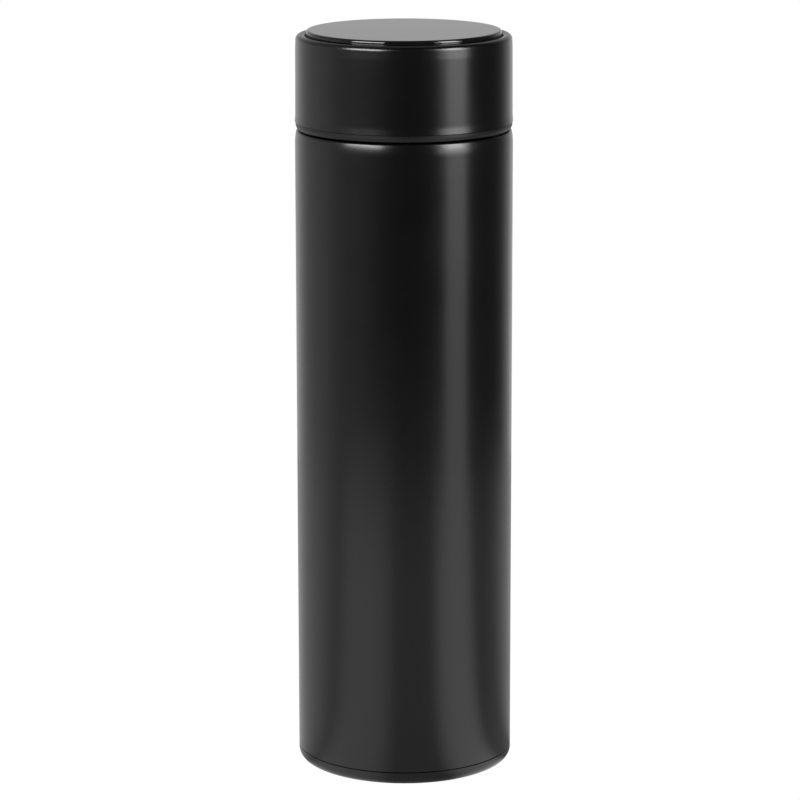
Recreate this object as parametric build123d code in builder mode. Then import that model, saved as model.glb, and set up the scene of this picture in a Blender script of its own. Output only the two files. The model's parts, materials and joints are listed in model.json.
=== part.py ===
from build123d import *
from math import cos, radians, sin
import os

# A double-walled steel vacuum flask with a screw lid that shows the drink's temperature.
# Millimetres. The flask stands on Z = 0 with its axis on Z, and its front faces -Y.

# ---- Driving dimensions: the flask ----
body_r = 32.65
shoulder_z = 195.2  # flat ring round the neck
lip_z = 207.5  # rim of the mouth
shell_wall = 0.5
liner_wall = 0.4
base_seam_z = 3.9  # top edge of the base cap's band
base_seam_gap = 0.2
shoulder_inset = 0.42  # the wall draws in softly over the last few millimetres
shoulder_draw = 2.5
shoulder_soft_fillet = 18.0
shoulder_fillet = 0.7
neck_r = 25.4
neck_fillet = 0.8
liner_r = 29.2  # inside of the liner
mouth_r = 23.3  # inside of the neck above the strainer's ledge
ledge_r = 21.9  # inside of the neck below the ledge
ledge_z = 199.0
liner_floor_z = 12.0
liner_weld_z = 21.0  # butt weld between the liner tube and its bottom

# ---- Driving dimensions: the screw thread ----
thread_pitch = 4.0
thread_root_width = 2.5
thread_crest_width = 1.3
neck_thread_height = 1.1
neck_thread_z = 198.4
neck_thread_turns = 1.6
insert_thread_height = 1.25
insert_thread_turns = 1.75
thread_sink = 0.3  # how far a ridge reaches into the wall it stands on

# ---- Driving dimensions: the lid ----
total_height = 225.0
collar_z = 195.8  # underside of the plastic collar
collar_r = 32.45
collar_taper = 0.35  # the collar narrows towards its lower edge
collar_taper_height = 0.95
lid_seam_z = 197.75  # lower edge of the steel lid shell
lid_seam_gap = 0.18
lid_lip_r = 32.67
lid_lip_height = 2.0
lid_lip_fillet = 16.0
lid_side_r = 32.52  # side just above the lip
lid_side_top_r = 32.42  # side where it starts to draw in
lid_draw_height = 4.0
lid_draw_fillet = 25.0
lid_top_r = 32.27  # side just below the top rounding
lid_rim_z = 223.79
lid_rim_fillet = 1.4
lens_hole_r = 29.55
lens_hole_rim_z = 223.54  # the top of the rim slopes in towards the lens
lens_hole_fillet = 0.6
lens_hole_edge_z = 222.88  # the rim turns down round the lens to this height
lens_r = 29.25
lens_z = 222.7  # underside of the lens
lens_bevel = 0.5

# ---- Driving dimensions: inside the lid ----
skirt_r = 27.0  # inside of the threaded skirt
skirt_wall = 1.9
ceiling_z = 209.2
ceiling_thick = 1.6
cable_hole_r = 7.0
tray_r = 31.52
tray_wall = 1.7
tray_floor_thick = 1.0
ledge_inner_r = 27.3  # ring that carries the lens
board_r = 26.8
board_z = 218.0
board_thick = 1.0
post_circle_r = 23.5
post_angles = (30, 150, 270)
cell_r = 12.25  # coin cell, 24.5 across and 5 thick
cell_thick = 5.0
cell_y = 12.8
contact_thick = 0.3
wire_r = 0.45
wire_x = 0.8

# ---- Worked out from the above ----
ceiling_top_z = ceiling_z + ceiling_thick
tray_floor_z = ceiling_top_z + tray_floor_thick
board_top_z = board_z + board_thick
cell_top_z = board_z - contact_thick
cell_bottom_z = cell_top_z - cell_thick
shell_bottom_z = base_seam_z + base_seam_gap
collar_top_z = lid_seam_z - lid_seam_gap

os.makedirs("parts", exist_ok=True)


def finish(piece, name, colour):
    """Name a finished piece, colour it and write it out."""
    piece.part.label = name
    piece.part.color = Color(*colour)
    export_step(piece.part, f"parts/{name}.step")


def add_thread(root_r, height, start_z, turns, start_angle):
    """Add one trapezoidal ridge along a helix to the part being built; a negative height points inwards."""
    sink = -thread_sink if height > 0 else thread_sink
    flank_lean = (thread_root_width - thread_crest_width) / abs(height)
    sunk_width = thread_root_width + flank_lean * thread_sink
    with BuildLine(Plane.XY.offset(start_z)) as helix:
        Helix(pitch=thread_pitch, height=thread_pitch * turns, radius=root_r)
    route = helix.line.rotate(Axis.Z, start_angle)
    start = route @ 0
    outwards = Vector(start.X, start.Y, 0)
    with BuildSketch(Plane(origin=start, x_dir=outwards, z_dir=route % 0)) as ridge:
        with BuildLine():
            Polyline(
                (sink, -sunk_width / 2),
                (height, -thread_crest_width / 2),
                (height, thread_crest_width / 2),
                (sink, sunk_width / 2),
                close=True,
            )
        make_face()
    sweep(sections=ridge.sketch, path=route, is_frenet=True)


# ======================= The flask =======================

# Outer shell: tube, rounded shoulder and threaded neck, pressed from one sheet
with BuildPart() as outer_shell:
    with BuildSketch(Plane.XZ):
        with BuildLine():
            FilletPolyline(
                (body_r, shell_bottom_z),
                (body_r, shoulder_z - shoulder_draw),
                (body_r - shoulder_inset, shoulder_z),
                (neck_r, shoulder_z),
                (neck_r, lip_z - liner_wall),
                radius=[shoulder_soft_fillet, shoulder_fillet, neck_fillet],
            )
            offset(amount=shell_wall, side=Side.LEFT)
        make_face()
    revolve(axis=Axis.Z)
    add_thread(neck_r, neck_thread_height, neck_thread_z, neck_thread_turns, 0)
    # the ridge fades out into the neck at both ends
    thread_end_z = neck_thread_z + thread_pitch * neck_thread_turns
    thread_ends = ((neck_thread_z, 0), (thread_end_z, 360 * neck_thread_turns))
    for end_z, end_angle in thread_ends:
        with Locations(Location((0, 0, end_z), (0, 0, end_angle))):
            with Locations((neck_r + 0.02, 0, 0)):
                Box(4, 40, 3.2, align=(Align.MIN, Align.CENTER, Align.CENTER), mode=Mode.SUBTRACT)
finish(outer_shell, "outer_shell", (0.03, 0.03, 0.03))

# Inner liner: tube, sloping shoulder, stepped neck and the lip that is welded over the outer neck
with BuildPart() as inner_liner:
    with BuildSketch(Plane.XZ):
        with BuildLine():
            FilletPolyline(
                (liner_r, liner_weld_z),
                (liner_r, 184.0),
                (ledge_r, 191.5),
                (ledge_r, ledge_z),
                (mouth_r, ledge_z),
                (mouth_r, lip_z),
                (neck_r, lip_z),
                radius=[5, 4, 0.6, 0.3, 0.6],
            )
            offset(amount=liner_wall, side=Side.RIGHT)
        make_face()
    revolve(axis=Axis.Z)
finish(inner_liner, "inner_liner", (0.72, 0.72, 0.72))

# Liner bottom: a shallow pressed dish, butt-welded to the liner tube
with BuildPart() as liner_bottom:
    with BuildSketch(Plane.XZ):
        with BuildLine():
            FilletPolyline((0, liner_floor_z), (liner_r, liner_floor_z), (liner_r, liner_weld_z), radius=8)
            offset(amount=liner_wall, side=Side.RIGHT)
        make_face()
    revolve(axis=Axis.Z)
finish(liner_bottom, "liner_bottom", (0.7, 0.7, 0.72))

# Vacuum plate: pressed disc welded inside the foot of the outer shell, with the evacuation hole
plate_z = 7.9
plate_wall = 0.6
evacuation_hole_r = 1.2
with BuildPart() as vacuum_plate:
    with BuildSketch(Plane.XZ):
        with BuildLine():
            FilletPolyline(
                (evacuation_hole_r, plate_z),
                (body_r - shell_wall, plate_z),
                (body_r - shell_wall, plate_z + 5),
                radius=2,
            )
            offset(amount=plate_wall, side=Side.LEFT)
        make_face()
    revolve(axis=Axis.Z)
finish(vacuum_plate, "vacuum_plate", (0.66, 0.66, 0.68))

# Seal bead: a drop of glass solder that fills the evacuation hole and spreads under it
bead_r = 3.2
bead_drop = 1.1
with BuildPart() as seal_bead:
    with BuildSketch(Plane.XY.offset(plate_z)):
        Circle(bead_r)
    extrude(amount=-bead_drop)
    fillet(seal_bead.edges().group_by(Axis.Z)[0], 0.9)
    with BuildSketch(Plane.XY.offset(plate_z)):
        Circle(evacuation_hole_r)
    extrude(amount=plate_wall)
finish(seal_bead, "seal_bead", (0.35, 0.42, 0.3))

# Getter pill: keeps the vacuum by taking up stray gas
getter_x = 15.0
getter_r = 4.0
getter_thick = 1.6
plate_top_z = plate_z + plate_wall
with BuildPart() as getter_pill:
    with BuildSketch(Plane.XY.offset(plate_top_z)):
        with Locations((getter_x, 0)):
            Circle(getter_r)
    extrude(amount=getter_thick)
    chamfer(getter_pill.edges().group_by(Axis.Z)[-1], 0.25)
finish(getter_pill, "getter_pill", (0.5, 0.5, 0.5))

# Getter clip: strap over the pill with a welded foot at each side
clip_sheet = 0.3
clip_width = 3.0
with BuildPart() as getter_clip:
    with BuildSketch(Plane.XZ.offset(-clip_width / 2)):
        with BuildLine():
            Polyline(
                (getter_x - getter_r - 2.6, plate_top_z),
                (getter_x - getter_r - 0.1, plate_top_z),
                (getter_x - getter_r - 0.1, plate_top_z + getter_thick),
                (getter_x + getter_r + 0.1, plate_top_z + getter_thick),
                (getter_x + getter_r + 0.1, plate_top_z),
                (getter_x + getter_r + 2.6, plate_top_z),
            )
            offset(amount=clip_sheet, side=Side.LEFT, kind=Kind.INTERSECTION)
        make_face()
    extrude(amount=clip_width)
finish(getter_clip, "getter_clip", (0.7, 0.7, 0.7))

# Base cap: pressed cup on the foot of the flask. Its band lines up with the body, a stepped rim
# goes up inside the shell, and the middle of its underside is raised off the table.
foot_r = 30.7
foot_inner_r = 26.5
foot_round_z = 2.8
cap_wall = 0.8
rim_r = body_r - shell_wall - 0.1
rim_top_z = 7.4
recess_z = 1.6
with BuildPart() as base_cap:
    with BuildSketch(Plane.XZ):
        with BuildLine():
            underside = Polyline((0, recess_z), (foot_inner_r - 1.5, recess_z), (foot_inner_r, 0), (foot_r, 0))
            side = Line((body_r, foot_round_z), (body_r, base_seam_z))
            TangentArc(side @ 0, underside @ 1, tangent=(0, -1))
            Polyline(
                side @ 1,
                (rim_r, base_seam_z),
                (rim_r, rim_top_z),
                (rim_r - cap_wall, rim_top_z),
                (rim_r - cap_wall, foot_round_z),
                (foot_r - 0.9, cap_wall),
                (foot_inner_r + 0.3, cap_wall),
                (foot_inner_r - 1.2, recess_z + cap_wall),
                (0, recess_z + cap_wall),
                (0, recess_z),
            )
        make_face()
    revolve(axis=Axis.Z)
finish(base_cap, "base_cap", (0.03, 0.03, 0.03))

# ======================= The tea strainer =======================

strainer_r = 21.2
strainer_wall = 0.4
strainer_rim_r = 22.9
strainer_bottom_z = 150.0
hole_r = 0.8
holes_round = 24
hole_rows = 9
hole_row_step = 4.0
with BuildPart() as strainer_cup:
    with BuildSketch(Plane.XZ):
        with BuildLine():
            FilletPolyline(
                (strainer_r, strainer_bottom_z),
                (strainer_r, ledge_z),
                (strainer_rim_r, ledge_z),
                radius=0.5,
            )
            offset(amount=strainer_wall, side=Side.LEFT)
        make_face()
    revolve(axis=Axis.Z)
    # rows of holes through the side, each row turned by half a step from the one below
    for row in range(hole_rows):
        with Locations(Plane.XY.offset(strainer_bottom_z + 4 + row * hole_row_step)):
            with PolarLocations(strainer_r, holes_round, start_angle=(row % 2) * 180 / holes_round):
                Cylinder(hole_r, 3, rotation=(0, 90, 0), mode=Mode.SUBTRACT)
finish(strainer_cup, "strainer_cup", (0.75, 0.75, 0.75))

# Strainer floor: perforated disc welded into the bottom of the cup
with BuildPart() as strainer_floor:
    with BuildSketch(Plane.XY.offset(strainer_bottom_z)):
        Circle(strainer_r - strainer_wall)
        for ring in range(1, 6):
            with PolarLocations(ring * 3.4, ring * 6):
                Circle(hole_r, mode=Mode.SUBTRACT)
        Circle(hole_r, mode=Mode.SUBTRACT)
    extrude(amount=strainer_wall)
finish(strainer_floor, "strainer_floor", (0.75, 0.75, 0.75))

# ======================= The lid =======================

# Lid shell: steel cap with a slight draft, a small lip at its foot and a round hole for the lens.
# Its rim is turned down into the hole.
with BuildPart() as lid_shell:
    with BuildSketch(Plane.XZ):
        with BuildLine():
            FilletPolyline(
                (lid_lip_r, lid_seam_z),
                (lid_side_r, lid_seam_z + lid_lip_height),
                (lid_side_top_r, lid_rim_z - lid_draw_height),
                (lid_top_r, lid_rim_z),
                (lens_hole_r, lens_hole_rim_z),
                (lens_hole_r, lens_hole_edge_z),
                radius=[lid_lip_fillet, lid_draw_fillet, lid_rim_fillet, lens_hole_fillet],
            )
            offset(amount=shell_wall, side=Side.LEFT)
        make_face()
    revolve(axis=Axis.Z)
finish(lid_shell, "lid_shell", (0.03, 0.03, 0.03))

# Lid insert: the visible collar, the threaded skirt, a spigot and ribs that centre the shell,
# and the ceiling over the mouth
spigot_r = 31.62
spigot_wall = 1.2
spigot_top_z = 202.0
rib_count = 12
rib_thick = 1.2
gasket_inner_r = 15.8
gasket_outer_r = 17.2
gasket_depth = 0.8
skirt_outer_r = skirt_r + skirt_wall
with BuildPart() as lid_insert:
    with BuildSketch(Plane.XZ):
        with BuildLine():
            Polyline(
                (cable_hole_r, ceiling_z),
                (gasket_inner_r, ceiling_z),
                (gasket_inner_r, ceiling_z + gasket_depth),
                (gasket_outer_r, ceiling_z + gasket_depth),
                (gasket_outer_r, ceiling_z),
                (skirt_r, ceiling_z),
                (skirt_r, collar_z),
                (collar_r - collar_taper, collar_z),
                (collar_r, collar_z + collar_taper_height),
                (collar_r, collar_top_z),
                (spigot_r, collar_top_z),
                (spigot_r, spigot_top_z),
                (spigot_r - spigot_wall, spigot_top_z),
                (spigot_r - spigot_wall, collar_top_z),
                (skirt_outer_r, collar_top_z),
                (skirt_outer_r, ceiling_top_z),
                (cable_hole_r, ceiling_top_z),
                close=True,
            )
        make_face()
    revolve(axis=Axis.Z)
    add_thread(skirt_r, -insert_thread_height, neck_thread_z, insert_thread_turns, 180)
    with Locations(Plane.XY.offset(collar_top_z)):
        with PolarLocations(skirt_outer_r - 0.4, rib_count):
            Box(
                spigot_r - skirt_outer_r + 0.3,
                rib_thick,
                ceiling_top_z - collar_top_z,
                align=(Align.MIN, Align.CENTER, Align.MIN),
            )
finish(lid_insert, "lid_insert", (0.05, 0.05, 0.05))

# Lid seal: silicone ring on the lip, with a bead that plugs the mouth
seal_inner_r = 21.9
seal_outer_r = 26.5
plug_outer_r = 22.9
plug_depth = 1.0
with BuildPart() as lid_seal:
    with BuildSketch(Plane.XZ):
        with BuildLine():
            Polyline(
                (seal_inner_r, ceiling_z),
                (seal_inner_r, lip_z - plug_depth),
                (plug_outer_r, lip_z - plug_depth),
                (plug_outer_r, lip_z),
                (seal_outer_r, lip_z),
                (seal_outer_r, ceiling_z),
                close=True,
            )
        make_face()
    revolve(axis=Axis.Z)
    fillet(lid_seal.edges().group_by(Axis.Z)[0], 0.3)
finish(lid_seal, "lid_seal", (0.85, 0.85, 0.83))

# Sensor cap: steel disc with a hollow nose that hangs into the mouth
cap_r = 18.0
cap_sheet = 0.5
nose_r = 4.8
nose_z = 203.7
with BuildPart() as sensor_cap:
    with BuildSketch(Plane.XZ):
        with BuildLine():
            FilletPolyline(
                (0, nose_z),
                (nose_r, nose_z),
                (nose_r, ceiling_z - cap_sheet),
                (cap_r, ceiling_z - cap_sheet),
                radius=[1.5, 0.8],
            )
            offset(amount=cap_sheet, side=Side.LEFT)
        make_face()
    revolve(axis=Axis.Z)
finish(sensor_cap, "sensor_cap", (0.78, 0.78, 0.78))

# Sensor gasket: ring pressed between the sensor cap and the ceiling
with BuildPart() as sensor_gasket:
    with BuildSketch(Plane.XY.offset(ceiling_z)):
        Circle(gasket_outer_r - 0.1)
        Circle(gasket_inner_r + 0.1, mode=Mode.SUBTRACT)
    extrude(amount=gasket_depth)
finish(sensor_gasket, "sensor_gasket", (0.6, 0.1, 0.08))

# Sensor retainer: ring welded under the ceiling that holds the edge of the sensor cap
retainer_r = 21.5
retainer_z = 207.7
with BuildPart() as sensor_retainer:
    with BuildSketch(Plane.XZ):
        with BuildLine():
            Polyline(
                (gasket_inner_r, ceiling_z - cap_sheet),
                (gasket_inner_r, retainer_z),
                (retainer_r, retainer_z),
                (retainer_r, ceiling_z),
                (cap_r + 0.1, ceiling_z),
                (cap_r + 0.1, ceiling_z - cap_sheet),
                close=True,
            )
        make_face()
    revolve(axis=Axis.Z)
    fillet(sensor_retainer.edges().group_by(Axis.Z)[0], 0.4)
finish(sensor_retainer, "sensor_retainer", (0.05, 0.05, 0.05))

# Thermistor: glass bead in the nose, with two bare leads
bead_z = nose_z + cap_sheet + 1.5
bulb_r = 1.3
lead_r = 0.2
lead_top_z = bead_z + 1.7
with BuildPart() as thermistor:
    with Locations((0, 0, bead_z)):
        Sphere(bulb_r)
    for lead_x in (-wire_x, wire_x):
        with Locations((lead_x, 0, bead_z)):
            Cylinder(lead_r, lead_top_z - bead_z, align=(Align.CENTER, Align.CENTER, Align.MIN))
finish(thermistor, "thermistor", (0.85, 0.6, 0.35))

# Sensor potting: resin that fills the nose round the thermistor
with BuildPart() as sensor_potting:
    with BuildSketch(Plane.XY.offset(nose_z + cap_sheet)):
        Circle(nose_r - cap_sheet)
    extrude(amount=lead_top_z - nose_z - cap_sheet)
    fillet(sensor_potting.edges().group_by(Axis.Z)[0], 1.0)
    add(thermistor.part, mode=Mode.SUBTRACT)
finish(sensor_potting, "sensor_potting", (0.85, 0.85, 0.8))

# Sensor wires: up from the thermistor, clear of the coin cell, to the underside of the board
wire_spread = 1.3
wire_end_y = -8.0
with BuildPart() as sensor_wires:
    for side_sign in (-1, 1):
        with BuildLine() as wire_route:
            FilletPolyline(
                (side_sign * wire_x, 0, lead_top_z),
                (side_sign * wire_x, 0, 211.0),
                (side_sign * wire_spread, wire_end_y, 214.0),
                (side_sign * wire_spread, wire_end_y, board_z),
                radius=[2.4, 2.6],
            )
        wire_path = wire_route.wire()
        with BuildSketch(Plane(origin=wire_path @ 0, z_dir=wire_path % 0)):
            Circle(wire_r)
        sweep(path=wire_path)
finish(sensor_wires, "sensor_wires", (0.7, 0.08, 0.08))

# Electronics tray: plastic cup on the insert, with the ring that carries the lens and three board posts
lens_ledge_z = 222.5
lens_ledge_thick = 1.6
pocket_r = 29.4
pocket_top_z = 222.8
post_r = 2.4
pilot_r = 0.85
pilot_depth = 5.0
with BuildPart() as electronics_tray:
    with BuildSketch(Plane.XZ):
        with BuildLine():
            Polyline(
                (cable_hole_r, ceiling_top_z),
                (tray_r, ceiling_top_z),
                (tray_r, pocket_top_z - 1.3),
            )
            RadiusArc((tray_r, pocket_top_z - 1.3), (tray_r - 1.3, pocket_top_z), -1.3)
            Polyline(
                (tray_r - 1.3, pocket_top_z),
                (pocket_r, pocket_top_z),
                (pocket_r, lens_ledge_z),
                (ledge_inner_r, lens_ledge_z),
                (ledge_inner_r, lens_ledge_z - lens_ledge_thick),
                (tray_r - tray_wall, lens_ledge_z - lens_ledge_thick),
                (tray_r - tray_wall, tray_floor_z),
                (cable_hole_r, tray_floor_z),
                (cable_hole_r, ceiling_top_z),
            )
        make_face()
    revolve(axis=Axis.Z)
    for post_angle in post_angles:
        post_x = post_circle_r * cos(radians(post_angle))
        post_y = post_circle_r * sin(radians(post_angle))
        with Locations((post_x, post_y, tray_floor_z)):
            Cylinder(post_r, board_z - tray_floor_z, align=(Align.CENTER, Align.CENTER, Align.MIN))
        with Locations((post_x, post_y, board_z)):
            Cylinder(pilot_r, pilot_depth, align=(Align.CENTER, Align.CENTER, Align.MAX), mode=Mode.SUBTRACT)
finish(electronics_tray, "electronics_tray", (0.08, 0.08, 0.08))

# Circuit board: round, with three screw holes
with BuildPart() as circuit_board:
    with BuildSketch(Plane.XY.offset(board_z)):
        Circle(board_r)
        for post_angle in post_angles:
            with Locations((post_circle_r * cos(radians(post_angle)), post_circle_r * sin(radians(post_angle)))):
                Circle(1.1, mode=Mode.SUBTRACT)
    extrude(amount=board_thick)
finish(circuit_board, "circuit_board", (0.02, 0.3, 0.12))

# Board screws: three self-tapping screws with crossed recesses
screw_head_r = 1.9
screw_head_height = 1.2
screw_r = 0.8
screw_length = 5.0
with BuildPart() as board_screws:
    for post_angle in post_angles:
        screw_x = post_circle_r * cos(radians(post_angle))
        screw_y = post_circle_r * sin(radians(post_angle))
        with Locations((screw_x, screw_y, board_top_z)):
            Cylinder(screw_head_r, screw_head_height, align=(Align.CENTER, Align.CENTER, Align.MIN))
            Cylinder(screw_r, screw_length, align=(Align.CENTER, Align.CENTER, Align.MAX))
    fillet(board_screws.edges().group_by(Axis.Z)[-1], 0.4)
    for post_angle in post_angles:
        screw_x = post_circle_r * cos(radians(post_angle))
        screw_y = post_circle_r * sin(radians(post_angle))
        with Locations((screw_x, screw_y, board_top_z + screw_head_height)):
            Box(2.2, 0.45, 1.2, mode=Mode.SUBTRACT)
            Box(0.45, 2.2, 1.2, mode=Mode.SUBTRACT)
finish(board_screws, "board_screws", (0.6, 0.6, 0.6))

# Battery: coin cell under the board, its stepped negative side upwards
with BuildPart() as battery:
    with BuildSketch(Plane.XY.offset(cell_bottom_z)):
        with Locations((0, cell_y)):
            Circle(cell_r)
    extrude(amount=cell_thick - 0.6)
    with BuildSketch(Plane.XY.offset(cell_top_z - 0.6)):
        with Locations((0, cell_y)):
            Circle(cell_r - 1.4)
    extrude(amount=0.6)
    chamfer(battery.edges().group_by(Axis.Z)[0], 0.4)
finish(battery, "battery", (0.75, 0.75, 0.77))

# Battery contact: flat negative contact between the cell and the board
with BuildPart() as battery_contact:
    with BuildSketch(Plane.XY.offset(cell_top_z)):
        with Locations((0, cell_y)):
            Circle(5)
            Circle(1.5, mode=Mode.SUBTRACT)
    extrude(amount=contact_thick)
finish(battery_contact, "battery_contact", (0.85, 0.65, 0.25))

# Battery clip: strap that carries the cell from below, soldered to the board at both feet
strap_sheet = 0.35
strap_width = 6.0
strap_leg_x = cell_r + 0.6
with BuildPart() as battery_clip:
    with BuildSketch(Plane.XZ.offset(-cell_y - strap_width / 2)):
        with BuildLine():
            Polyline(
                (-strap_leg_x - 3, board_z),
                (-strap_leg_x, board_z),
                (-strap_leg_x, cell_bottom_z),
                (strap_leg_x, cell_bottom_z),
                (strap_leg_x, board_z),
                (strap_leg_x + 3, board_z),
            )
            offset(amount=strap_sheet, side=Side.RIGHT, kind=Kind.INTERSECTION)
        make_face()
    extrude(amount=strap_width)
finish(battery_clip, "battery_clip", (0.78, 0.78, 0.74))

# Digit frame: white block with three digits of seven through windows
digit_step = 8.4
segment_length = 3.0
segment_width = 0.9
segment_gap = 0.6
frame_height = 3.2
# each segment's place in units of half a digit, and whether it lies along X
segments = (
    (0, 2, True),
    (0, 0, True),
    (0, -2, True),
    (-1, 1, False),
    (1, 1, False),
    (-1, -1, False),
    (1, -1, False),
)
half_digit = (segment_length + segment_gap) / 2
with BuildPart() as digit_frame:
    with BuildSketch(Plane.XY.offset(board_top_z)):
        RectangleRounded(27, 12.5, 1.0)
        for digit in (-1, 0, 1):
            for across, up, lies_flat in segments:
                with Locations((digit * digit_step + across * half_digit, up * half_digit)):
                    if lies_flat:
                        SlotOverall(segment_length, segment_width, mode=Mode.SUBTRACT)
                    else:
                        SlotOverall(segment_length, segment_width, rotation=90, mode=Mode.SUBTRACT)
    extrude(amount=frame_height)
finish(digit_frame, "digit_frame", (0.9, 0.9, 0.9))

# Display LEDs: one small lamp on the board under each window
with BuildPart() as display_leds:
    for digit in (-1, 0, 1):
        for across, up, lies_flat in segments:
            led_x = digit * digit_step + across * half_digit
            with Locations((led_x, up * half_digit, board_top_z)):
                if lies_flat:
                    Box(1.2, 0.6, 0.4, align=(Align.CENTER, Align.CENTER, Align.MIN))
                else:
                    Box(0.6, 1.2, 0.4, align=(Align.CENTER, Align.CENTER, Align.MIN))
finish(display_leds, "display_leds", (0.95, 0.85, 0.5))

# Control chip: moulded body with legs along both sides
chip_x = -13.0
chip_y = 13.5
with BuildPart() as control_chip:
    with Locations((chip_x, chip_y, board_top_z + 0.2)):
        Box(10, 4, 1.5, align=(Align.CENTER, Align.CENTER, Align.MIN))
    with Locations((chip_x, chip_y, board_top_z)):
        with GridLocations(1.27, 5.2, 8, 2):
            Box(0.4, 1.6, 0.5, align=(Align.CENTER, Align.CENTER, Align.MIN))
finish(control_chip, "control_chip", (0.1, 0.1, 0.1))

# Board components: resistors and capacitors
with BuildPart() as board_components:
    with Locations((12, 13, board_top_z)):
        with GridLocations(3.2, 2.4, 3, 3):
            Box(1.6, 0.8, 0.6, align=(Align.CENTER, Align.CENTER, Align.MIN))
    with Locations((-11, -13, board_top_z)):
        with GridLocations(3.6, 0, 3, 1):
            Box(2.0, 1.25, 0.9, align=(Align.CENTER, Align.CENTER, Align.MIN))
finish(board_components, "board_components", (0.55, 0.45, 0.35))

# Touch spring: carries the touch signal from the board to the back of the lens
spring_r = 2.2
spring_wire_r = 0.25
spring_pitch = 0.95
spring_y = -14.5
spring_height = lens_z - board_top_z - 2 * spring_wire_r
with BuildPart() as touch_spring:
    with BuildLine(Plane((0, spring_y, board_top_z + spring_wire_r))) as coil:
        Helix(pitch=spring_pitch, height=spring_height, radius=spring_r)
    with BuildSketch(Plane(origin=coil.line @ 0, z_dir=coil.line % 0)):
        Circle(spring_wire_r)
    sweep(path=coil.line, is_frenet=True)
finish(touch_spring, "touch_spring", (0.8, 0.8, 0.8))

# Lens tape: adhesive ring under the lens
with BuildPart() as lens_tape:
    with BuildSketch(Plane.XY.offset(lens_ledge_z)):
        Circle(lens_r - 0.2)
        Circle(ledge_inner_r + 0.2, mode=Mode.SUBTRACT)
    extrude(amount=lens_z - lens_ledge_z)
finish(lens_tape, "lens_tape", (0.15, 0.15, 0.15))

# Display lens: glossy disc that stands proud of the rim, its top edge rounded
with BuildPart() as display_lens:
    with BuildSketch(Plane.XY.offset(lens_z)):
        Circle(lens_r)
    extrude(amount=total_height - lens_z)
    fillet(display_lens.edges().group_by(Axis.Z)[-1], lens_bevel)
finish(display_lens, "display_lens", (0.02, 0.02, 0.02))
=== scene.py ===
import json
from math import asin, atan2, cos, degrees, hypot, pi, radians, sin, tan, tau
import bpy
from mathutils import Matrix, Vector


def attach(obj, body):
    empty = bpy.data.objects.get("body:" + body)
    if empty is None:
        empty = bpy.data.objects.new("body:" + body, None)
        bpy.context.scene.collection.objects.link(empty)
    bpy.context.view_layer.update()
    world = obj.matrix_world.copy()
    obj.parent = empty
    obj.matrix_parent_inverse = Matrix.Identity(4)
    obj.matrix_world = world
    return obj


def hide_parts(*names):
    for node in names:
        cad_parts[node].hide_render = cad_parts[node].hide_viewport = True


# A double-walled steel vacuum flask: satin black coat, screw lid with a glossy touch lens.
# Metres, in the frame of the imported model: the axis is Z and the front faces -Y.
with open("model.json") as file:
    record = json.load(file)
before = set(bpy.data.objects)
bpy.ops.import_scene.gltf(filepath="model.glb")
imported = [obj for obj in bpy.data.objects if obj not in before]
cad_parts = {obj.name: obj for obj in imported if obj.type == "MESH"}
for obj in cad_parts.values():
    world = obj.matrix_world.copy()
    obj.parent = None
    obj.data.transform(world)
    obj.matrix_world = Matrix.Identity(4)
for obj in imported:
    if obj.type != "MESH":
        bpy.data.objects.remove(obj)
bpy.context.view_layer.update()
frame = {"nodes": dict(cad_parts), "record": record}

MM = 0.001
SEGMENTS = 192  # round the axis
ROUND_STEPS = 14  # along each rounded edge
HOLD = 0.3  # distance from a corner to the ring that keeps the flat beside it flat in smooth shading


# ======================= Shapes =======================

def rounded(points, radii, steps=ROUND_STEPS):
    """A path in (r, z), millimetres, through points with its inner corners rounded.

    Straight runs get a point near each end, so that smooth shading stays flat along them."""
    path = [points[0]]
    for i in range(1, len(points) - 1):
        corner, radius = Vector(points[i]), radii[i - 1]
        back = (Vector(points[i - 1]) - corner).normalized()
        ahead = (Vector(points[i + 1]) - corner).normalized()
        half = back.angle(ahead) / 2
        reach = radius / tan(half)
        centre = corner + (back + ahead).normalized() * radius / sin(half)
        first, last = corner + back * reach - centre, corner + ahead * reach - centre
        start, turn = atan2(first.y, first.x), first.angle_signed(last)
        for step in range(steps + 1):
            angle = start - turn * step / steps
            path.append((centre.x + radius * cos(angle), centre.y + radius * sin(angle)))
    path.append(points[-1])
    held = [path[0]]
    for a, b in zip(path, path[1:]):
        length = hypot(b[0] - a[0], b[1] - a[1])
        if length > 4 * HOLD:
            for share in (HOLD / length, 1 - HOLD / length):
                held.append((a[0] + (b[0] - a[0]) * share, a[1] + (b[1] - a[1]) * share))
        held.append(b)
    return held


def sheet_of(path, wall):
    """A closed loop: the path, and the same path offset to its left by the wall."""
    shortest = 1e-9  # a run below this has no direction
    least_lean = 0.3  # limits the offset at a sharp corner
    other = []
    for i, p in enumerate(path):
        normals = []
        for a, b in zip(path[max(i - 1, 0):i + 1], path[max(i, 1):i + 2]):
            d = Vector((b[0] - a[0], b[1] - a[1]))
            if d.length > shortest:
                normals.append(Vector((-d.y, d.x)).normalized())
        n = (normals[0] + normals[-1]).normalized()
        reach = wall / max(n.dot(normals[0]), least_lean)
        other.append((p[0] + n.x * reach, p[1] + n.y * reach))
    return path + other[::-1]


def arc(centre, radius, start, end, steps):
    """Points of an arc in (r, z), angles in degrees from +r towards +z."""
    angles = [radians(start + (end - start) * i / steps) for i in range(steps + 1)]
    return [(centre[0] + radius * cos(a), centre[1] + radius * sin(a)) for a in angles]


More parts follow.
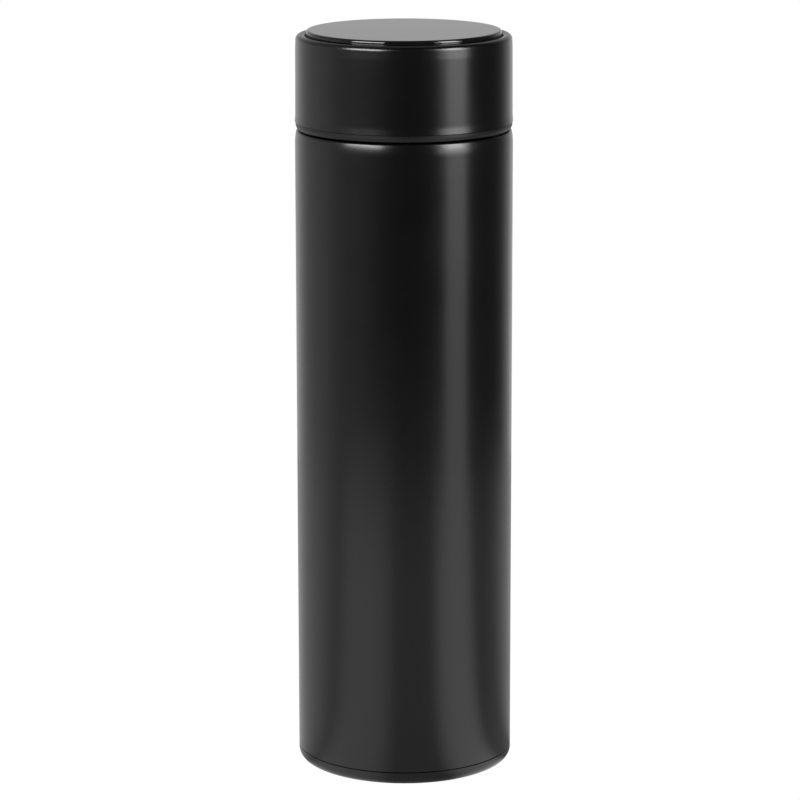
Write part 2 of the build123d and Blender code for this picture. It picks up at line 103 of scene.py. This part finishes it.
def make_piece(name, verts, faces, slot, body, stands_for, sharp=30):
    """A smooth piece with creases at angles over sharp degrees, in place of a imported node."""
    mesh = bpy.data.meshes.new(name)
    mesh.from_pydata(verts, [], faces)
    mesh.validate()
    mesh.shade_smooth()
    mesh.set_sharp_from_angle(angle=radians(sharp))
    mesh.materials.append(materials[slot])
    piece = bpy.data.objects.new(name, mesh)
    bpy.context.scene.collection.objects.link(piece)
    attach(piece, body)
    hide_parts(stands_for)
    return piece


def lathe(name, loop, slot, body, stands_for):
    """Turn a closed loop in (r, z), millimetres, round the axis. Points on the axis become poles."""
    area = sum(a[0] * b[1] - b[0] * a[1] for a, b in zip(loop, loop[1:] + loop[:1]))
    if area < 0:
        loop = loop[::-1]
    verts, rings = [], []
    for r, z in loop:
        if r == 0:
            rings.append([len(verts)] * SEGMENTS)
            verts.append((0, 0, z * MM))
        else:
            rings.append(list(range(len(verts), len(verts) + SEGMENTS)))
            angles = [tau * i / SEGMENTS for i in range(SEGMENTS)]
            verts += [(r * cos(a) * MM, r * sin(a) * MM, z * MM) for a in angles]
    faces = []
    for low, high in zip(rings, rings[1:] + rings[:1]):
        for i in range(SEGMENTS):
            k = (i + 1) % SEGMENTS
            corners = list(dict.fromkeys((low[i], low[k], high[k], high[i])))
            if len(corners) > 2:
                faces.append(corners)
    return make_piece(name, verts, faces, slot, body, stands_for)


def thread_ridge(name, root_r, thread, slot, body, stands_for):
    """A rolled thread ridge, its crest corners eased, that fades into the wall at both ends."""
    height, lean = thread["height"], (thread["root_width"] - thread["crest_width"]) / 2
    half_root, half_crest = thread["root_width"] / 2, thread["crest_width"] / 2
    sink = 0.3  # how far it reaches into the wall
    fade = 1.2  # angle over which an end runs out, radians
    clearance = 0.02  # how far a faded end stands out of the wall
    ease_share, ease_width = 0.86, 0.22  # the crest's corners are eased above this share of the height
    flank = [(-sink, half_root + lean * sink / height), (height / 2, half_crest + lean / 2)]
    flank += [(height * ease_share, half_crest + lean * 0.12), (height, half_crest - ease_width)]
    section = [(h, -w) for h, w in flank] + flank[::-1]
    per_turn = 120
    count = round(per_turn * thread["turns"])
    verts, faces = [], []
    for i in range(count + 1):
        angle = tau * i / per_turn
        from_end = min(angle, tau * thread["turns"] - angle)
        limit = (root_r + clearance) / cos(min(from_end, fade)) - root_r
        z = thread["start_z"] + thread["pitch"] * angle / tau
        for h, w in section:
            r = root_r + min(h, limit)
            verts.append((r * cos(angle) * MM, r * sin(angle) * MM, (z + w) * MM))
    n = len(section)
    for i in range(count):
        for j in range(n):
            k = (j + 1) % n
            faces.append((i * n + j, (i + 1) * n + j, (i + 1) * n + k, i * n + k))
    faces.append(tuple(range(n)))
    faces.append(tuple(count * n + j for j in reversed(range(n))))
    return make_piece(name, verts, faces, slot, body, stands_for, sharp=50)


# ======================= Materials =======================

NOISE_RANGE = 0.3, 0.7  # most of a noise texture's values lie between these


def material(
        name, colours, rough, metallic=0.0, grain=(300, 0.2), patches=40, bumps=(), stretch=(1, 1, 1),
        **sockets):
    """A finish worked out in the object's own coordinates.

    colours: darkest and lightest base colour
    rough: smoothest and roughest
    grain: scale and share of the fine noise in the colour
    patches: scale of the broad noise
    bumps: kind, scale per metre and height in metres of each relief
    stretch: how much denser all of it is along X, Y and Z"""
    mat = bpy.data.materials.new(name)
    mat.use_nodes = True
    nodes, links = mat.node_tree.nodes, mat.node_tree.links
    shader = nodes["Principled BSDF"]
    shader.inputs["Metallic"].default_value = metallic
    for socket, value in sockets.items():
        shader.inputs[socket.replace("_", " ")].default_value = value
    place = nodes.new("ShaderNodeTexCoord")
    mapping = nodes.new("ShaderNodeMapping")
    mapping.inputs["Scale"].default_value = stretch
    links.new(place.outputs["Object"], mapping.inputs["Vector"])

    def noise(scale, detail=3.0, kind="ShaderNodeTexNoise"):
        node = nodes.new(kind)
        node.inputs["Scale"].default_value = scale
        if kind == "ShaderNodeTexNoise":
            node.inputs["Detail"].default_value = detail
        links.new(mapping.outputs["Vector"], node.inputs["Vector"])
        return node

    broad, fine = noise(patches, 4.0), noise(grain[0], 2.0)
    blend = nodes.new("ShaderNodeMix")
    blend.inputs["Factor"].default_value = grain[1]
    links.new(broad.outputs["Fac"], blend.inputs["A"])
    links.new(fine.outputs["Fac"], blend.inputs["B"])
    ramp = nodes.new("ShaderNodeValToRGB")
    for element, position, colour in zip(ramp.color_ramp.elements, NOISE_RANGE, colours):
        element.position = position
        element.color = (*colour, 1)
    links.new(blend.outputs["Result"], ramp.inputs["Fac"])
    links.new(ramp.outputs["Color"], shader.inputs["Base Color"])
    spread = nodes.new("ShaderNodeMapRange")
    for end, position, roughness in zip(("Min", "Max"), NOISE_RANGE, rough):
        spread.inputs["From " + end].default_value = position
        spread.inputs["To " + end].default_value = roughness
    links.new(noise(patches * 1.7, 5.0).outputs["Fac"], spread.inputs["Value"])
    links.new(spread.outputs["Result"], shader.inputs["Roughness"])
    under = None
    for kind, scale, height in bumps:
        bump = nodes.new("ShaderNodeBump")
        bump.inputs["Strength"].default_value = 1.0
        bump.inputs["Distance"].default_value = height
        if kind == "cells":
            source = noise(scale, kind="ShaderNodeTexVoronoi").outputs["Distance"]
        else:
            source = noise(scale, 2.0).outputs["Fac"]
        links.new(source, bump.inputs["Height"])
        if under:
            links.new(under.outputs["Normal"], bump.inputs["Normal"])
        links.new(bump.outputs["Normal"], shader.inputs["Normal"])
        under = bump
    return mat


def grey(low, high):
    return (low, low, low), (high, high, high)


AROUND = (1, 1, 45)  # stretches a noise into fine lines round the axis
materials = {
    "black_coat": material(
        "satin_black_coat", grey(0.0009, 0.0016), (0.205, 0.235), grain=(1800, 0.5), patches=35,
        bumps=(("noise", 1500, 7e-6), ("cells", 2600, 4e-6))),
    "black_plastic": material(
        "moulded_black_plastic", grey(0.003, 0.005), (0.36, 0.44), grain=(2400, 0.4), patches=60,
        bumps=(("noise", 2600, 1.2e-5),), Specular_IOR_Level=0.3),
    "lens_black": material(
        "glossy_black_lens", grey(0.0025, 0.0035), (0.035, 0.07), patches=55,
        bumps=(("noise", 120, 6e-7),), IOR=1.5),
    "bare_steel": material(
        "brushed_bare_steel", grey(0.5, 0.66), (0.22, 0.34), metallic=1.0, grain=(90, 0.6), patches=18,
        bumps=(("noise", 60, 8e-6), ("noise", 160, 3e-6)), stretch=AROUND),
    "seal_silicone": material(
        "milky_silicone", ((0.62, 0.62, 0.6), (0.72, 0.72, 0.7)), (0.42, 0.55), patches=70,
        bumps=(("noise", 1400, 1e-5),), Subsurface_Weight=0.15, Subsurface_Radius=(0.002, 0.002, 0.002)),
    "gasket_silicone": material(
        "red_silicone", ((0.28, 0.02, 0.015), (0.4, 0.03, 0.02)), (0.45, 0.6), patches=120,
        bumps=(("noise", 2000, 1e-5),)),
    "solder_glass": material(
        "solder_glass", ((0.1, 0.13, 0.08), (0.2, 0.24, 0.15)), (0.12, 0.3), patches=500,
        bumps=(("cells", 1500, 3e-5),)),
    "getter_metal": material(
        "sintered_metal", grey(0.12, 0.22), (0.6, 0.85), metallic=1.0, grain=(4000, 0.6), patches=600,
        bumps=(("cells", 3500, 3e-5),)),
    "white_plastic": material(
        "white_plastic", grey(0.68, 0.76), (0.4, 0.55), patches=150, bumps=(("noise", 2500, 8e-6),)),
    "led_lamp": material(
        "lamp_phosphor", ((0.62, 0.5, 0.16), (0.82, 0.7, 0.3)), (0.15, 0.35), grain=(6000, 0.5), patches=2000,
        bumps=(("noise", 5000, 1e-5),)),
    "board_green": material(
        "green_solder_mask", ((0.005, 0.05, 0.018), (0.012, 0.12, 0.045)), (0.2, 0.32), grain=(1400, 0.5),
        patches=350, bumps=(("cells", 700, 2e-5),), Coat_Weight=0.4),
    "chip_black": material(
        "moulded_epoxy", grey(0.015, 0.03), (0.5, 0.7), grain=(5000, 0.6), patches=600,
        bumps=(("noise", 6000, 1e-5),)),
    "ceramic_parts": material(
        "tinned_ceramic", ((0.2, 0.13, 0.07), (0.42, 0.32, 0.2)), (0.3, 0.5), grain=(3000, 0.3), patches=900,
        bumps=(("noise", 4000, 1e-5),)),
    "cell_steel": material(
        "nickel_plated_steel", grey(0.55, 0.7), (0.16, 0.28), metallic=1.0, grain=(1500, 0.4), patches=120,
        bumps=(("noise", 1800, 3e-6),)),
    "contact_brass": material(
        "contact_brass", ((0.6, 0.42, 0.13), (0.78, 0.58, 0.22)), (0.2, 0.36), metallic=1.0, patches=400,
        bumps=(("noise", 2500, 4e-6),)),
    "spring_steel": material(
        "tinned_spring_steel", grey(0.5, 0.66), (0.25, 0.4), metallic=1.0, grain=(3000, 0.5), patches=300,
        bumps=(("noise", 3000, 4e-6),)),
    "screw_steel": material(
        "zinc_plated_steel", ((0.45, 0.46, 0.48), (0.6, 0.61, 0.63)), (0.28, 0.42), metallic=1.0, patches=500,
        bumps=(("noise", 3500, 6e-6),)),
    "bead_glass": material(
        "amber_bead_glass", ((0.5, 0.22, 0.05), (0.7, 0.36, 0.1)), (0.05, 0.12), patches=900,
        bumps=(("noise", 1500, 2e-6),), Transmission_Weight=0.3),
    "resin": material(
        "potting_resin", ((0.6, 0.57, 0.45), (0.72, 0.7, 0.58)), (0.25, 0.45), patches=400,
        bumps=(("noise", 1200, 1e-5),)),
    "wire_red": material(
        "red_insulation", ((0.3, 0.015, 0.012), (0.45, 0.03, 0.025)), (0.35, 0.5), patches=500,
        bumps=(("noise", 3000, 6e-6),)),
    "tape_black": material(
        "foam_tape", grey(0.015, 0.03), (0.7, 0.9), grain=(5000, 0.6), patches=700,
        bumps=(("cells", 4000, 3e-5),)),
}


# ======================= Outer pieces =======================

# Body shell: its wall draws in softly over the last few millimetres below the shoulder
BODY_R, SHELL_WALL = 32.65, 0.5
SHELL_FOOT_Z, SHOULDER_Z = 4.1, 195.2
SHOULDER_DRAW, SHOULDER_INSET = 2.5, 0.42
COAT_EDGE_R = 26.9  # where the black coat ends on the shoulder
DRAW_ROUND, SHOULDER_ROUND = 18, 0.7
shell_corners = [
    (BODY_R, SHELL_FOOT_Z), (BODY_R, SHOULDER_Z - SHOULDER_DRAW), (BODY_R - SHOULDER_INSET, SHOULDER_Z),
    (COAT_EDGE_R, SHOULDER_Z)]
shell_path = rounded(shell_corners, [DRAW_ROUND, SHOULDER_ROUND])
lathe("body_shell", sheet_of(shell_path, SHELL_WALL), "black_coat", "flask", "outer_shell")

# Bare steel neck with its rolled thread
NECK_R, NECK_TOP_Z, NECK_ROUND = 25.4, 207.1, 0.8
NECK_THREAD = {
    "height": 1.1, "start_z": 198.4, "pitch": 4.0, "turns": 1.6, "root_width": 2.5, "crest_width": 1.3}
neck_corners = [(COAT_EDGE_R, SHOULDER_Z), (NECK_R, SHOULDER_Z), (NECK_R, NECK_TOP_Z)]
neck_path = rounded(neck_corners, [NECK_ROUND], steps=8)
lathe("steel_neck", sheet_of(neck_path, SHELL_WALL), "bare_steel", "flask", "outer_shell")
thread_ridge("neck_thread", NECK_R, NECK_THREAD, "bare_steel", "flask", "outer_shell")

# Base cap: a shallow recess inside the standing ring, a round up to the band, and a spigot inside the shell
FOOT_R, ROUND_Z = 30.7, 2.8  # the round starts at the foot and ends at this height on the wall
ROUND_R = ((BODY_R - FOOT_R) ** 2 + ROUND_Z ** 2) / (2 * (BODY_R - FOOT_R))
RECESS_R, RECESS_Z, RING_R = 25.0, 1.6, 26.5
BAND_TOP_Z, BAND_BEVEL = 3.9, 0.15
SPIGOT_R, SPIGOT_TOP_Z, CAP_WALL = 32.05, 7.4, 0.8
INNER_FOOT_R = 29.8  # inside corner above the foot
cap_loop = [(0, RECESS_Z), (RECESS_R / 2, RECESS_Z), (RECESS_R - HOLD, RECESS_Z), (RECESS_R, RECESS_Z)]
cap_loop += [(RING_R, 0), (RING_R + HOLD, 0), (FOOT_R - HOLD, 0)]
cap_loop += arc((BODY_R - ROUND_R, ROUND_Z), ROUND_R, -degrees(asin(ROUND_Z / ROUND_R)), 0, ROUND_STEPS)
cap_loop += [
    (BODY_R, ROUND_Z + HOLD), (BODY_R, BAND_TOP_Z - BAND_BEVEL), (BODY_R - BAND_BEVEL, BAND_TOP_Z),
    (SPIGOT_R, BAND_TOP_Z), (SPIGOT_R, SPIGOT_TOP_Z), (SPIGOT_R - CAP_WALL, SPIGOT_TOP_Z),
    (SPIGOT_R - CAP_WALL, ROUND_Z), (INNER_FOOT_R, CAP_WALL), (RING_R + HOLD, CAP_WALL),
    (RECESS_R + HOLD, RECESS_Z + CAP_WALL), (RECESS_R / 2, RECESS_Z + CAP_WALL), (0, RECESS_Z + CAP_WALL)]
lathe("foot_cap", cap_loop, "black_coat", "flask", "base_cap")

# Lid shell: small flare at its foot, slight draft, rounded rim that turns down into the hole for the lens
LID_SEAM_Z, LID_RIM_Z = 197.75, 223.79
LID_FOOT_R, LID_SIDE_R, LID_SIDE_TOP_R, LID_TOP_R = 32.67, 32.52, 32.42, 32.27
FLARE_HEIGHT, DRAW_HEIGHT = 2, 4
LENS_HOLE_R, LENS_HOLE_EDGE_Z, RIM_FALL = 29.55, 222.88, 0.25
FLARE_ROUND, LID_DRAW_ROUND, RIM_ROUND, HOLE_ROUND = 16, 25, 1.4, 0.6
lid_corners = [
    (LID_FOOT_R, LID_SEAM_Z), (LID_SIDE_R, LID_SEAM_Z + FLARE_HEIGHT),
    (LID_SIDE_TOP_R, LID_RIM_Z - DRAW_HEIGHT), (LID_TOP_R, LID_RIM_Z),
    (LENS_HOLE_R, LID_RIM_Z - RIM_FALL), (LENS_HOLE_R, LENS_HOLE_EDGE_Z)]
lid_path = rounded(lid_corners, [FLARE_ROUND, LID_DRAW_ROUND, RIM_ROUND, HOLE_ROUND])
lathe("lid_skin", sheet_of(lid_path, SHELL_WALL), "black_coat", "lid", "lid_shell")

# Touch lens: stands proud of the rim, its top edge rounded
LENS_R, LENS_Z, TOP_Z, LENS_ROUND = 29.25, 222.7, 225.0, 0.75
EDGE_R, EDGE_Z = LENS_R - LENS_ROUND, TOP_Z - LENS_ROUND  # centre of the rounded edge
EDGE_HOLD = 0.2  # as HOLD, beside the rounded edge
lens_loop = [(0, LENS_Z), (LENS_R / 2, LENS_Z), (LENS_R - HOLD, LENS_Z), (LENS_R, LENS_Z)]
lens_loop += [(LENS_R, EDGE_Z - EDGE_HOLD)]
lens_loop += arc((EDGE_R, EDGE_Z), LENS_ROUND, 0, 90, ROUND_STEPS)
lens_loop += [(EDGE_R - EDGE_HOLD, TOP_Z), (LENS_R * 0.8, TOP_Z), (LENS_R * 0.4, TOP_Z), (0, TOP_Z)]
lathe("touch_lens", lens_loop, "lens_black", "lid", "display_lens")


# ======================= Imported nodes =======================

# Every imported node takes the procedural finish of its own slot
node_slots = {part["node"]: part["material_slot"] for part in frame["record"]["subparts"]}
for name, node in frame["nodes"].items():
    for material_slot in node.material_slots:
        material_slot.material = materials[node_slots[name]]


# ======================= Stage, light and camera =======================

def stage_material(name, colour, glow, painted_pools):
    """White floor that isn't seen from below, and throws less light back than it shows. Its glow holds
    painted pools of light, seen only in reflections.

    painted_pools: azimuth and half width in degrees, and strength, of each painted pool of light, a brighter
    sector of glow round the axis"""
    mat = bpy.data.materials.new(name)
    mat.use_nodes = True
    nodes, links = mat.node_tree.nodes, mat.node_tree.links
    shader = nodes["Principled BSDF"]
    shader.inputs["Base Color"].default_value = (*colour, 1)
    shader.inputs["Roughness"].default_value = 0.9
    shader.inputs["Specular IOR Level"].default_value = 0.0
    shader.inputs["Emission Color"].default_value = (1, 1, 1, 1)
    place = nodes.new("ShaderNodeTexCoord")
    outwards = nodes.new("ShaderNodeVectorMath")
    outwards.operation = "NORMALIZE"
    links.new(place.outputs["Object"], outwards.inputs[0])
    total = None
    # Each painted pool of light is a brighter sector of the floor's glow round the axis
    for azimuth, half_width, strength in painted_pools:
        a = radians(azimuth)
        towards = nodes.new("ShaderNodeVectorMath")
        towards.operation = "DOT_PRODUCT"
        towards.inputs[1].default_value = (sin(a), -cos(a), 0)
        links.new(outwards.outputs["Vector"], towards.inputs[0])
        painted_pool = nodes.new("ShaderNodeMapRange")
        painted_pool.interpolation_type = "SMOOTHSTEP"
        painted_pool.inputs["From Min"].default_value = cos(radians(half_width))
        painted_pool.inputs["To Min"].default_value = glow
        painted_pool.inputs["To Max"].default_value = glow + strength
        links.new(towards.outputs["Value"], painted_pool.inputs["Value"])
        if total:
            both = nodes.new("ShaderNodeMath")
            both.operation = "MAXIMUM"
            links.new(total, both.inputs[0])
            links.new(painted_pool.outputs["Result"], both.inputs[1])
            total = both.outputs["Value"]
        else:
            total = painted_pool.outputs["Result"]
    links.new(total, shader.inputs["Emission Strength"])
    # Plain white where it is seen directly
    white = nodes.new("ShaderNodeEmission")
    white.inputs["Color"].default_value = (1, 1, 1, 1)
    ray = nodes.new("ShaderNodeLightPath")
    seen = nodes.new("ShaderNodeMixShader")
    links.new(ray.outputs["Is Camera Ray"], seen.inputs["Fac"])
    links.new(shader.outputs["BSDF"], seen.inputs[1])
    links.new(white.outputs["Emission"], seen.inputs[2])
    # Clear from below
    facing = nodes.new("ShaderNodeNewGeometry")
    clear = nodes.new("ShaderNodeBsdfTransparent")
    mix = nodes.new("ShaderNodeMixShader")
    links.new(facing.outputs["Backfacing"], mix.inputs["Fac"])
    links.new(seen.outputs["Shader"], mix.inputs[1])
    links.new(clear.outputs["BSDF"], mix.inputs[2])
    links.new(mix.outputs["Shader"], nodes["Material Output"].inputs["Surface"])
    return mat


# The floor is a ring, open under the foot
FLOOR_SIDES, FLOOR_R = 96, 0.42
FLOOR_GREY, FLOOR_GLOW = (0.32, 0.32, 0.32), 0.04
# Painted pools of light in the floor's glow, seen only in reflections: azimuth, half width and strength
FLOOR_PAINTED_POOLS = ((52, 28, 0.95), (-41, 36, 0.6), (-120, 60, 0.42), (140, 40, 0.3))
floor_mesh = bpy.data.meshes.new("floor")
floor_angles = [tau * i / FLOOR_SIDES for i in range(FLOOR_SIDES)]
floor_verts = [(r * cos(a), r * sin(a), 0) for r in (FOOT_R * MM, FLOOR_R) for a in floor_angles]
floor_sides = [(i, (i + 1) % FLOOR_SIDES) for i in range(FLOOR_SIDES)]
floor_mesh.from_pydata(floor_verts, [], [(i, i + FLOOR_SIDES, k + FLOOR_SIDES, k) for i, k in floor_sides])
floor_mesh.materials.append(stage_material("floor_with_painted_pools", FLOOR_GREY, FLOOR_GLOW, FLOOR_PAINTED_POOLS))
floor = bpy.data.objects.new("floor", floor_mesh)
bpy.context.scene.collection.objects.link(floor)


def softbox(name, azimuth, distance, low, high, width, radiance):
    """An upright soft light facing the axis. Azimuth 0 is the camera's side, and 90 is on its right."""
    data = bpy.data.lights.new(name, "AREA")
    data.shape = "RECTANGLE"
    data.size = width
    data.size_y = high - low
    data.energy = radiance * pi * width * (high - low)
    light = bpy.data.objects.new(name, data)
    a = radians(azimuth)
    light.location = (distance * sin(a), -distance * cos(a), (low + high) / 2)
    light.rotation_euler = (pi / 2, 0, a)
    light.visible_camera = False
    bpy.context.scene.collection.objects.link(light)


# Azimuth in degrees; distance, lower edge, upper edge and width in metres; radiance
SOFTBOXES = {
    "softbox_right": (54, 1.3, 0.12, 1.25, 0.8, 3.0),
    "softbox_right_core": (55, 1.27, 0.3, 0.72, 0.5, 9.8),
    "softbox_right_top": (55, 1.27, 0.72, 1.25, 0.5, 10.0),
    "softbox_right_skirt": (56.5, 1.27, -0.02, 0.3, 0.5, 2.0),
    "card_right": (56, 1.3, -0.5, -0.02, 0.6, 1.0),
    "softbox_left": (-43.5, 1.3, 0.41, 1.2, 0.95, 14.0),
}
for softbox_name, settings in SOFTBOXES.items():
    softbox(softbox_name, *settings)

world = bpy.data.worlds.new("studio")
bpy.context.scene.world = world
world.use_nodes = True
world_nodes, world_links = world.node_tree.nodes, world.node_tree.links
world_nodes.clear()


def world_node(kind, **settings):
    node = world_nodes.new(kind)
    for key, value in settings.items():
        setattr(node, key, value)
    return node


def ramp_node(stops):
    node = world_node("ShaderNodeValToRGB")
    ramp = node.color_ramp
    ramp.interpolation = "EASE"
    while len(ramp.elements) < len(stops):
        ramp.elements.new(0.5)
    for element, (position, level) in zip(ramp.elements, stops):
        element.position = position
        element.color = (level, level, level, 1)
    return node


# Round the horizon, as seen from the camera's side: 0 and 1 are the front, 0.25 left, 0.5 behind, 0.75 right
AZIMUTH_STOPS = (
    (0.0, 0.05), (0.06, 0.07), (0.17, 0.28), (0.2, 0.4), (0.26, 0.62), (0.34, 0.58), (0.42, 0.78), (0.5, 0.7),
    (0.56, 0.84), (0.615, 0.5), (0.65, 0.18), (0.69, 0.08), (0.8, 0.07), (0.94, 0.05), (1.0, 0.05))
# From straight down to straight up
HEIGHT_STOPS = ((0.0, 0.9), (0.45, 1.0), (0.53, 1.0), (0.62, 0.6), (0.75, 0.52), (1.0, 0.25))
direction = world_node("ShaderNodeTexCoord")
parts = world_node("ShaderNodeSeparateXYZ")
world_links.new(direction.outputs["Generated"], parts.inputs["Vector"])
turn = world_node("ShaderNodeMath", operation="ARCTAN2")
world_links.new(parts.outputs["X"], turn.inputs[0])
world_links.new(parts.outputs["Y"], turn.inputs[1])
share = world_node("ShaderNodeMath", operation="MULTIPLY_ADD")
share.inputs[1].default_value = 1 / tau
share.inputs[2].default_value = 0.5
world_links.new(turn.outputs["Value"], share.inputs[0])
around = ramp_node(AZIMUTH_STOPS)
world_links.new(share.outputs["Value"], around.inputs["Fac"])
rise = world_node("ShaderNodeMath", operation="MULTIPLY_ADD")
rise.inputs[1].default_value = 0.5
rise.inputs[2].default_value = 0.5
world_links.new(parts.outputs["Z"], rise.inputs[0])
height = ramp_node(HEIGHT_STOPS)
world_links.new(rise.outputs["Value"], height.inputs["Fac"])
level = world_node("ShaderNodeVectorMath", operation="MULTIPLY")
world_links.new(around.outputs["Color"], level.inputs[0])
world_links.new(height.outputs["Color"], level.inputs[1])
studio = world_node("ShaderNodeBackground")
world_links.new(level.outputs["Vector"], studio.inputs["Color"])
backdrop = world_node("ShaderNodeBackground")
backdrop.inputs["Color"].default_value = (1, 1, 1, 1)
ray = world_node("ShaderNodeLightPath")
choose = world_node("ShaderNodeMixShader")
world_links.new(ray.outputs["Is Camera Ray"], choose.inputs["Fac"])
world_links.new(studio.outputs["Background"], choose.inputs[1])
world_links.new(backdrop.outputs["Background"], choose.inputs[2])
world_out = world_node("ShaderNodeOutputWorld")
world_links.new(choose.outputs["Shader"], world_out.inputs["Surface"])

CAMERA_PLACE = (-0.0013, -1.1004, 0.3547)
CAMERA_PITCH = 12.436  # degrees below level
CAMERA_ROLL = -0.0014  # radians
camera_data = bpy.data.cameras.new("camera")
camera_data.lens = 166.7
camera_data.sensor_width = 36
camera = bpy.data.objects.new("camera", camera_data)
camera.location = CAMERA_PLACE
aim = Matrix.Rotation(radians(90 - CAMERA_PITCH), 3, "X") @ Matrix.Rotation(CAMERA_ROLL, 3, "Z")
camera.rotation_euler = aim.to_euler()
bpy.context.scene.collection.objects.link(camera)
bpy.context.scene.camera = camera
bpy.context.scene.view_settings.view_transform = "Standard"
